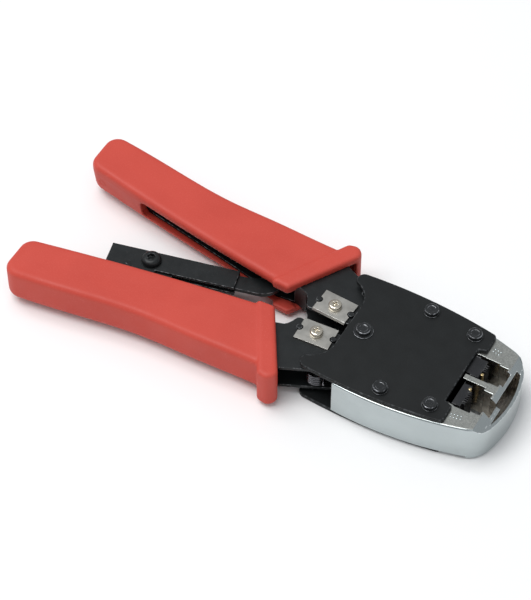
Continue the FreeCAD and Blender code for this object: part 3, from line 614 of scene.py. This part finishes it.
def moulded(name, node):
    """A node's shape as one closed skin with every edge eased."""
    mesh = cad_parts[node].data.copy()
    shell = bmesh.new()
    shell.from_mesh(mesh)
    bmesh.ops.remove_doubles(shell, verts=shell.verts, dist=weld)
    shell.to_mesh(mesh)
    shell.free()
    if "custom_normal" in mesh.attributes:
        mesh.attributes.remove(mesh.attributes["custom_normal"])
    rough = bpy.data.objects.new(name, mesh)
    bpy.context.collection.objects.link(rough)
    skin = rough.modifiers.new("skin", "REMESH")
    skin.mode = "VOXEL"
    skin.voxel_size = mould_step
    ease = rough.modifiers.new("ease", "SMOOTH")
    ease.factor = 0.5
    ease.iterations = 3
    bpy.context.view_layer.update()
    evaluated = rough.evaluated_get(bpy.context.evaluated_depsgraph_get())
    dense = bpy.data.meshes.new_from_object(evaluated)
    bpy.data.objects.remove(rough)
    return dense


def lean(mesh, hand):
    """Give the grip's inner side its mould draft; only the outer skin moves."""
    low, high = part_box("upper_grip")
    start_z, clear_x = high[2] - draft_start, high[0] - draft_clear
    skin = {}
    for vert in mesh.vertices:
        out = hand * vert.co.y
        key = (round(vert.co.x / mm), round(vert.co.z / mm))
        skin[key] = min(skin.get(key, out), out)
    for vert in mesh.vertices:
        key = (round(vert.co.x / mm), round(vert.co.z / mm))
        depth = hand * vert.co.y - skin[key]
        if depth < 2 * skin_depth and vert.co.x < clear_x:
            share = min(1.0, max(0.0, (start_z - vert.co.z) / (start_z - low[2])))
            ease_out = min(1.0, (clear_x - vert.co.x) / draft_run)
            hold = min(1.0, max(0.0, 2 - depth / skin_depth))
            vert.co.y += hand * mould_draft * share * hold * ease_out


def mould_pin_ring(mesh, hand):
    """Faint ring that a round ejector pin leaves on the inner side, near the rear."""
    ring_radius, cord_radius = 1.9 * mm, 0.14 * mm
    ring_inset, ring_height = 6.5 * mm, 11.0 * mm
    around, across = 40, 8
    grip_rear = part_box("upper_grip")[0][0]
    shell = bmesh.new()
    shell.from_mesh(mesh)
    aim = Vector((grip_rear + ring_inset, 0, ring_height))
    spot, face_way, _, _ = BVHTree.FromBMesh(shell).ray_cast(aim, Vector((0, hand, 0)))
    over = face_way.orthogonal().normalized()
    side_way = face_way.cross(over)
    rows = []
    for i in range(around):
        turn = 2 * math.pi * i / around
        outward = over * math.cos(turn) + side_way * math.sin(turn)
        row = []
        for k in range(across):
            roll = 2 * math.pi * k / across
            offset = outward * math.cos(roll) + face_way * math.sin(roll)
            row.append(shell.verts.new(spot + outward * ring_radius + offset * cord_radius))
        rows.append(row)
    made = []
    for i in range(around):
        here, there = rows[i], rows[(i + 1) % around]
        for k in range(across):
            n = (k + 1) % across
            made.append(shell.faces.new((here[k], there[k], there[n], here[n])))
    bmesh.ops.recalc_face_normals(shell, faces=made)
    shell.to_mesh(mesh)
    shell.free()


for side, hand in (("upper", 1), ("lower", -1)):
    mesh = moulded(side + "_red_grip", side + "_grip")
    lean(mesh, hand)
    mould_pin_ring(mesh, hand)
    mesh.materials.clear()
    mesh.materials.append(red_grip)
    mesh.shade_smooth()
    piece = bpy.data.objects.new(side + "_red_grip", mesh)
    bpy.context.collection.objects.link(piece)
    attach(piece, side + "_handle")
    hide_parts(side + "_grip")

# ================================================================ ratchet link
# A folded black housing turns on a button-head screw in the lower lever.  A toothed rack slides
# in it and hangs on a pin in the upper lever; a small sprung pawl catches the teeth.
for part, width, body, slot in (("link_bracket", 0.2 * mm, "lower_handle", "blackened_steel"),
                                ("link_collar", 0.15 * mm, "lower_handle", "black_pin"),
                                ("link_housing", 0.16 * mm, "link", "blackened_steel"),
                                ("pawl_pin", 0.12 * mm, "link", "black_pin"),
                                ("pawl_spring", 0.05 * mm, "link", "spring_steel"),
                                ("pawl", 0.12 * mm, "pawl", "blackened_steel"),
                                ("link_rack", 0.12 * mm, "rack", "blackened_steel"),
                                ("rack_pin", 0.12 * mm, "upper_handle", "black_pin"),
                                ("link_screw", 0.12 * mm, "lower_handle", "black_pin")):
    softened_piece("black_" + part, part, width, blued_steel, body, slot)
